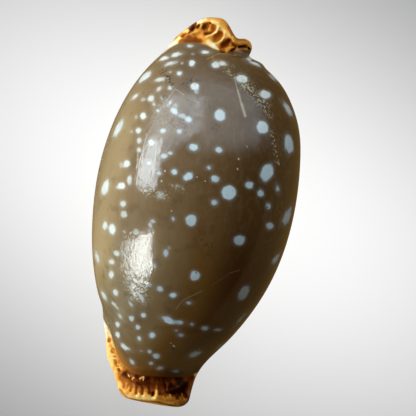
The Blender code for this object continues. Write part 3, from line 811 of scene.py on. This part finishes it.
HALF_WIDTH, HALF_LENGTH = 17 * MM, 34 * MM
across = axis(position, 0) / HALF_WIDTH
lengthwise = axis(position, 1) / HALF_LENGTH
ends = lengthwise.math("ABSOLUTE", lengthwise).step(0.62, 0.85)
cloudy = noise(60, 4)
streaky = noise(160, 3, stretch=(1.0, 0.12, 1.0))
mottled = noise(420, 4)
fine = noise(900, 2)
wavy = across + (cloudy - 0.5) * 0.3 + lengthwise.step(-0.45, -0.75) * 0.16


def pigment_and_light(stops):
    """Colour across the dome, through the stops in turn."""
    shade = stops[0][1]
    for (low, _), (high, tint) in zip(stops, stops[1:]):
        shade = blend(wavy.step(low, high), shade, tint)
    return shade


in_front = (lengthwise + (cloudy - 0.5) * 0.3).step(0.1, -0.4)
olive = blend(in_front, pigment_and_light(BACK_PIGMENT_AND_LIGHT), pigment_and_light(FRONT_PIGMENT_AND_LIGHT))
# Over the right margin: partly its own yellower brown, partly painted light from the floor below.
olive = blend(across.step(0.78, 1.0) * 0.7, olive, EDGE_OLIVE)
olive = blend((streaky - 0.5).step(-0.05, 0.2) * 0.3, olive, DARK_STREAK)
olive = blend(mottled.step(0.5, 0.72) * 0.3, olive, DARK_STREAK)
hazy = noise(1100, 3, stretch=(1.0, 0.6, 1.0), offset=(0.7, 0, 0)).step(0.45, 0.75)
olive = blend(hazy * lengthwise.step(-0.4, 0.15) * 0.15, olive, MILK_HAZE)
olive = blend(lengthwise.step(-0.64, -0.84) * 0.8, olive, FOOT_BROWN)
# The spots' colour is painted lit and shaded: paler at the left edge where the light falls, bluer and darker
# towards the shaded right, and palest towards the posterior end, where the light from behind falls.
milk = blend(across.step(-0.7, -0.1), MILK_LIT, MILK_SHADED_BLUE)
milk = blend(noise(800, 3).step(0.45, 0.75) * 0.5, milk, MILK_DIM)
milk = blend(lengthwise.step(0.35, 0.78) * 0.85, milk, MILK_LIT_BACK)

edge = field("spot_edge") + (noise(480, 2) - 0.5) * 0.6 + (noise(1500, 2) - 0.5) * 0.3
milky = (edge.step(0.11, -0.27) * 0.89 + edge.step(0.6, -0.1) * 0.11) * field("spot_milk")
dome = blend(milky, olive, milk)

flattened = vector_math("MULTIPLY", {0: position, 1: (1, 1, 0)})


def under(x, y):
    """Place, level and in metres, of the surface point that shows at a pixel."""
    at = surface_place(x, y)
    spot = outside[at]
    miss = (np.array((x, y)) - pixels[at]) / per_metre(spot[2])
    return spot[:2] + miss[0] * RIGHT - miss[1] * UP


def scratch(x0, y0, x1, y1, width):
    """1 on the line between two points of the picture, fading out over half its width."""
    start, end = under(x0, y0), under(x1, y1)
    along = end - start
    line = (*along.tolist(), 0)
    offset = vector_math("SUBTRACT", {0: flattened, 1: (*start.tolist(), 0)})
    share = vector_math("DOT_PRODUCT", {0: offset, 1: line}, "Value") / float(along @ along)
    reached = vector_math("SCALE", {0: line, "Scale": share.highest(0.0).lowest(1.0)})
    miss = vector_math("SUBTRACT", {0: offset, 1: reached})
    gap = vector_math("LENGTH", {0: miss}, "Value") / (width * PIXEL * MM)
    return gap.step(0.75, 0.15)


def strongest_scratch(sign):
    """The pale scratches (sign 1) or the dark ones (sign -1), each as strong as its own number."""
    lines = [scratch(*line) * (sign * strength) for *line, strength in SCRATCHES if sign * strength > 0]
    together = lines[0]
    for line in lines[1:]:
        together = together.highest(line)
    return together


on_top = axis(position, 2).step(4 * MM, 6 * MM)
pale_flecks = noise(2300, 4).step(0.49, 0.61) * field("scuffed") * 0.85
dark_flecks = noise(2300, 4, offset=(0.3, 0.1, 0)).step(0.51, 0.6) * field("dirty") * 0.9
pale = strongest_scratch(1).highest(pale_flecks) * on_top
dark = strongest_scratch(-1).highest(dark_flecks) * on_top
dome = blend(pale, dome, PALE_SCRATCH)
dome = blend(dark, dome, DARK_FLECK)

# Towards its front left margin the dome's foot takes the collar's colour.
margin = blend(across.step(-0.45, -0.2), MARGIN_AMBER, MARGIN_BROWN)
near_margin = field("callus").step(-1.7, 0.1) * lengthwise.step(-0.68, -0.8) * across.step(0.1, -0.15)
dome = blend(near_margin * 0.8, dome, margin)

# Callus: brown streaks fan out over the front collar from its canal.
FAN_MIDDLE = under(152, 330)
fan_x = axis(position, 0) - float(FAN_MIDDLE[0])
fan_y = axis(position, 1) - float(FAN_MIDDLE[1])
fan = fan_x.math("ARCTAN2", fan_x, fan_y)
fan_place = add_node(tree, "ShaderNodeCombineXYZ", {}, {0: fan * 9.0, 1: fan_y / (4 * MM)})
ribbed = add_node(tree, "ShaderNodeTexNoise", {}, {"Vector": fan_place, "Scale": 1.6, "Detail": 3.0})
brown = field("tone_and_painted_light") + (noise(700, 3) - 0.5) * 0.14
brown = brown + (ribbed - 0.5) * 0.5 * lengthwise.step(-0.55, -0.75) * on_top
callus_colour = CREAM
for low, tint in ((0.0, STRAW), (0.2, AMBER), (0.4, TAN), (0.6, CHESTNUT), (0.8, BLACK_BROWN)):
    callus_colour = blend(brown.step(low, low + 0.2), callus_colour, tint)
on_callus = (field("callus") + (noise(300, 3) - 0.5) * 0.3).step(-0.2, 0.16)

# Gloss. The glaze has faint ripples, and where it is worn a coarse grain breaks up what it mirrors.
# The callus has no thick glaze: it shines less, and its shine is warm.
GLAZE_IOR, CALLUS_IOR = 1.6, 1.22
RIPPLE_DEPTH = 0.012 * MM
WORN_DEPTH = 11.0              # how much deeper the worn grain is than the ripples
ripple = noise(520, 2) * 0.55 + noise(2400, 2, stretch=(1, 0.16, 1)) * 0.4 + noise(3600, 1) * 0.2
ripple = ripple + noise(1500, 3, stretch=(1, 0.6, 1)) * field("worn") * WORN_DEPTH
bump = add_node(tree, "ShaderNodeBump", {}, {"Height": ripple, "Strength": 1.0, "Distance": RIPPLE_DEPTH}, 0)
at_foot = lengthwise.step(-0.45, -0.7)
feed(shader, {
    "Base Color": dome, "Roughness": 0.07 + fine * 0.05 + ends * 0.04 + pale * 0.2, "IOR": GLAZE_IOR,
    "Coat Weight": 0.3 - (ends * 0.16).highest(at_foot * 0.3), "Coat Roughness": 0.26, "Normal": bump})
bare = add_node(tree, "ShaderNodeBsdfPrincipled", {}, {
    "Base Color": callus_colour, "Roughness": 0.2 + fine * 0.08, "IOR": CALLUS_IOR,
    "Specular Tint": WARM_SHINE, "Normal": bump})
glazed = Wire(tree, shader.outputs[0])
shell_shader = add_node(tree, "ShaderNodeMixShader", {}, {0: on_callus, 1: glazed, 2: bare})
feed(tree.nodes["Material Output"], {"Surface": shell_shader})

shell_mesh.materials.append(enamel)
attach(shell, "root")
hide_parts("shell")


# Floor. A plain pale sheet whose brightness is nearly all its own glow: a painted pool of light,
# brightest near the shell and dimmer towards the corners, with a faint contact shadow. The glow lights
# the shell's flanks from below as white paper does. What the glaze mirrors of it is painted: brown and
# dim, but pale far out past the posterior end, where light from the wall falls on it.
FLOOR_HALF = 1.2
PAPER_MIDDLE = (3.46 * MM, 3.05 * MM)   # where the paper is brightest
PAPER_SCALE = 20                        # its glow falls off over about a twentieth of a metre
PAPER_TURN = math.radians(12.6)
PAPER_STRETCH = (0.634, 1.099, 0)       # how fast it falls off across and along
PAPER_LEAST = 0.1
GREY_PAPER, MIRRORED_PAPER = (0.05, 0.05, 0.05, 1), (0.03, 0.018, 0.004, 1)
MIRRORED_NEAR, MIRRORED_FAR = (0.12, 0.07, 0.014, 1), (0.56, 0.61, 0.66, 1)

floor_mesh = bpy.data.meshes.new("floor")
corners = [(x * FLOOR_HALF, y * FLOOR_HALF, 0) for x, y in ((-1, -1), (1, -1), (1, 1), (-1, 1))]
floor_mesh.from_pydata(corners, [], [(0, 1, 2, 3)])
floor = add_object("floor", floor_mesh)
paper = bpy.data.materials.new("paper")
paper.use_nodes = True
paper_tree = paper.node_tree
paper_place = add_node(paper_tree, "ShaderNodeTexCoord", {}, {}, "Object")
centred = add_node(paper_tree, "ShaderNodeMapping", {}, {
    "Vector": paper_place, "Location": (-PAPER_MIDDLE[0] * PAPER_SCALE, -PAPER_MIDDLE[1] * PAPER_SCALE, 0),
    "Scale": (PAPER_SCALE, PAPER_SCALE, PAPER_SCALE)})
turned = add_node(paper_tree, "ShaderNodeVectorRotate", {"rotation_type": "Z_AXIS"}, {
    "Vector": centred, "Angle": PAPER_TURN})
stretched = vector_math("MULTIPLY", {0: turned, 1: PAPER_STRETCH})
fall = vector_math("DOT_PRODUCT", {0: stretched, 1: stretched}, "Value")
shade = fall.math("EXPONENT", fall * -1.0) * (1 - PAPER_LEAST) + PAPER_LEAST
aside = axis(paper_place, 0) + axis(paper_place, 1) * 0.18
wall_light = (axis(paper_place, 1) - aside.math("ABSOLUTE", aside) * 0.5).step(0.02, 0.17)
mirror_ray = add_node(paper_tree, "ShaderNodeLightPath", {}, {}, "Is Glossy Ray")
feed(paper_tree.nodes["Principled BSDF"], {
    "Roughness": 0.9, "Emission Strength": 1.0,
    "Base Color": blend(mirror_ray, GREY_PAPER, MIRRORED_PAPER),
    "Emission Color": blend(mirror_ray, shade, blend(wall_light, MIRRORED_NEAR, MIRRORED_FAR))})
floor_mesh.materials.append(paper)


# Reflections. The glaze mirrors two windows to the left and a pale wall beyond the posterior end.
# Each is two glowing panels, one for its brighter part. A panel's outline is worked out from that of
# its reflection: from points of the picture to the dome, and from there, mirrored, out to a sphere.
PANEL_DISTANCE = 0.8
RING_GLOW = (0.0, 0.35, 0.8, 1.0)       # glow on a panel's rings of points, from the outermost in
EYE = np.array((*VIEW_MIDDLE, CAMERA_HEIGHT))
DOME_MIDDLE = np.array((0.0, 0.0, 18 * MM))


def mirrored(x, y):
    """The way that the view bounces off the dome at a pixel."""
    at = surface_place(x, y)
    spot, normal = smooth_outside[at], normals[at]
    look = spot - EYE
    look = look / np.linalg.norm(look)
    bounced = look - 2 * (look @ normal) * normal
    return bounced + (spot - DOME_MIDDLE) / PANEL_DISTANCE


def add_panel(name, radiance, tint, soft, patches, grain, outline):
    """Glowing panel, seen only in the glaze, on a sphere round the dome where its outline bounces
    to. Rings of points between its middle and its outline let the glow fade out over its soft edge,
    and noise of this grain, between the two levels of patches, breaks it up. What lies behind shows
    through."""
    ways = np.array([mirrored(x, y) for x, y in outline])
    middle = ways.mean(axis=0)
    count = len(ways)
    rings = [middle + (ways - middle) * share for share in (1.0 + soft / 2, 1.0, 1.0 - soft / 2, 1.0 - soft)]
    points = np.concatenate(rings + [middle[None]])
    points = DOME_MIDDLE + PANEL_DISTANCE * points / np.linalg.norm(points, axis=1, keepdims=True)
    faces = []
    for k in range(count):
        ahead = (k + 1) % count
        for start in (0, count, 2 * count):
            faces.append((start + k, start + ahead, start + count + ahead, start + count + k))
        faces.append((3 * count + k, 3 * count + ahead, 4 * count))
    mesh = bpy.data.meshes.new(name)
    mesh.from_pydata(points.tolist(), [], faces)
    layer = mesh.attributes.new("glow", "FLOAT", "POINT")
    layer.data.foreach_set("value", np.repeat(RING_GLOW, count).tolist() + [1.0])
    material = bpy.data.materials.new(name)
    material.use_nodes = True
    lit = material.node_tree
    lit.nodes.remove(lit.nodes["Principled BSDF"])
    panel_place = add_node(lit, "ShaderNodeTexCoord", {}, {}, "Object")
    drawn = add_node(lit, "ShaderNodeMapping", {}, {"Vector": panel_place, "Scale": (1, 0.4, 1)})
    patchy = add_node(lit, "ShaderNodeTexNoise", {}, {
        "Vector": drawn, "Scale": grain, "Detail": 7.0, "Roughness": 0.65})
    shine = add_node(lit, "ShaderNodeAttribute", {"attribute_name": "glow"}, {}, "Fac")
    shine = shine * patchy.step(*patches) * radiance
    emission = add_node(lit, "ShaderNodeEmission", {}, {"Color": (*tint, 1), "Strength": shine})
    clear = add_node(lit, "ShaderNodeBsdfTransparent", {}, {})
    glowing = add_node(lit, "ShaderNodeAddShader", {}, {0: emission, 1: clear})
    feed(lit.nodes["Material Output"], {"Surface": glowing})
    mesh.materials.append(material)
    panel = add_object(name, mesh)
    panel.visible_camera = False
    panel.visible_diffuse = False
    panel.visible_shadow = False


# Each panel: its name, brightness and tint, the share of it that is soft edge, the two levels of its
# patches, their grain, and the outline of its reflection in pixels.
PANELS = [
    ("window_back", 3.6, (0.78, 0.98, 1.15), 0.22, (0.26, 0.66), 22, [
        (172, 92), (163, 100), (152, 118), (143, 140), (136, 187), (155, 189), (158, 176), (164, 163),
        (172, 152), (186, 141), (205, 130), (204, 98), (188, 92)]),
    ("window_back_low", 8.5, (0.84, 1.0, 1.08), 0.16, (0.33, 0.6), 22, [
        (163, 138), (151, 138), (143, 148), (138, 165), (136, 188), (156, 189), (159, 172)]),
    ("window_front", 10.0, (0.9, 1.0, 1.02), 0.12, (0.4, 0.56), 34, [
        (150, 228), (153, 232), (152.5, 268), (147, 282), (140, 296), (132, 290), (126, 272), (122, 258),
        (121, 243), (128, 239), (140, 236)]),
    ("window_front_core", 10.0, (0.94, 1.0, 0.99), 0.14, (0.38, 0.58), 24, [
        (150, 228), (153, 232), (152.5, 268), (148, 274), (142, 276), (136, 272), (133, 262), (132, 252),
        (134, 244), (141, 237)]),
    ("wall_back", 1.1, (0.84, 0.97, 1.08), 0.34, (-0.2, 0.9), 14, [
        (194, 84), (212, 70), (232, 66), (250, 78), (257, 96), (260, 120), (258, 144), (240, 148), (222, 150),
        (203, 149), (195, 120)]),
    ("wall_back_dim", 0.7, (0.86, 0.97, 1.05), 0.3, (-0.2, 0.9), 14, [
        (128, 128), (134, 98), (152, 72), (176, 56), (204, 50), (234, 54), (256, 68), (268, 92), (275, 120),
        (272, 146), (240, 154), (200, 154), (160, 140)]),
]
for panel_values in PANELS:
    add_panel(*panel_values)


# Light. A wide soft light from the left shades the dome, a softer one hangs overhead, and a faint
# even glow fills in. The glaze doesn't mirror the two lights.
def add_soft_light(name, place, aim, width, height, strength, tint=(1, 1, 1)):
    """Rectangular light: where it is, where it points, its size, and the brightness that a white
    card facing it would have at the aim."""
    data = bpy.data.lights.new(name, "AREA")
    data.shape = "RECTANGLE"
    data.size, data.size_y = width, height
    way = np.array(aim) - np.array(place)
    distance = float(np.linalg.norm(way))
    data.energy = strength * math.pi ** 2 * distance ** 2
    data.color = tint
    light = add_object(name, data)
    light.location = place
    light.rotation_euler = (math.acos(-way[2] / distance), 0, math.atan2(way[1], way[0]) - math.pi / 2)
    light.visible_glossy = False


add_soft_light("left", (-0.8, -0.15, 0.26), DOME_MIDDLE, 0.7, 0.5, 1.04, (1.0, 0.99, 0.97))
add_soft_light("above", (-0.1, 0.65, 0.8), DOME_MIDDLE, 0.8, 0.8, 0.8, (0.98, 0.99, 1.0))

world = bpy.data.worlds.new("world")
world.use_nodes = True
bpy.context.scene.world = world
sky = world.node_tree
glow = sky.nodes["Background"]
feed(glow, {"Color": (1.0, 0.72, 0.3, 1), "Strength": 0.05})
backdrop = add_node(sky, "ShaderNodeBackground", {}, {"Color": (0.5, 0.5, 0.5, 1), "Strength": 1.0})
camera_ray = add_node(sky, "ShaderNodeLightPath", {}, {}, "Is Camera Ray")
whole_sky = add_node(sky, "ShaderNodeMixShader", {}, {
    0: camera_ray, 1: Wire(sky, glow.outputs[0]), 2: backdrop})
feed(sky.nodes["World Output"], {"Surface": whole_sky})
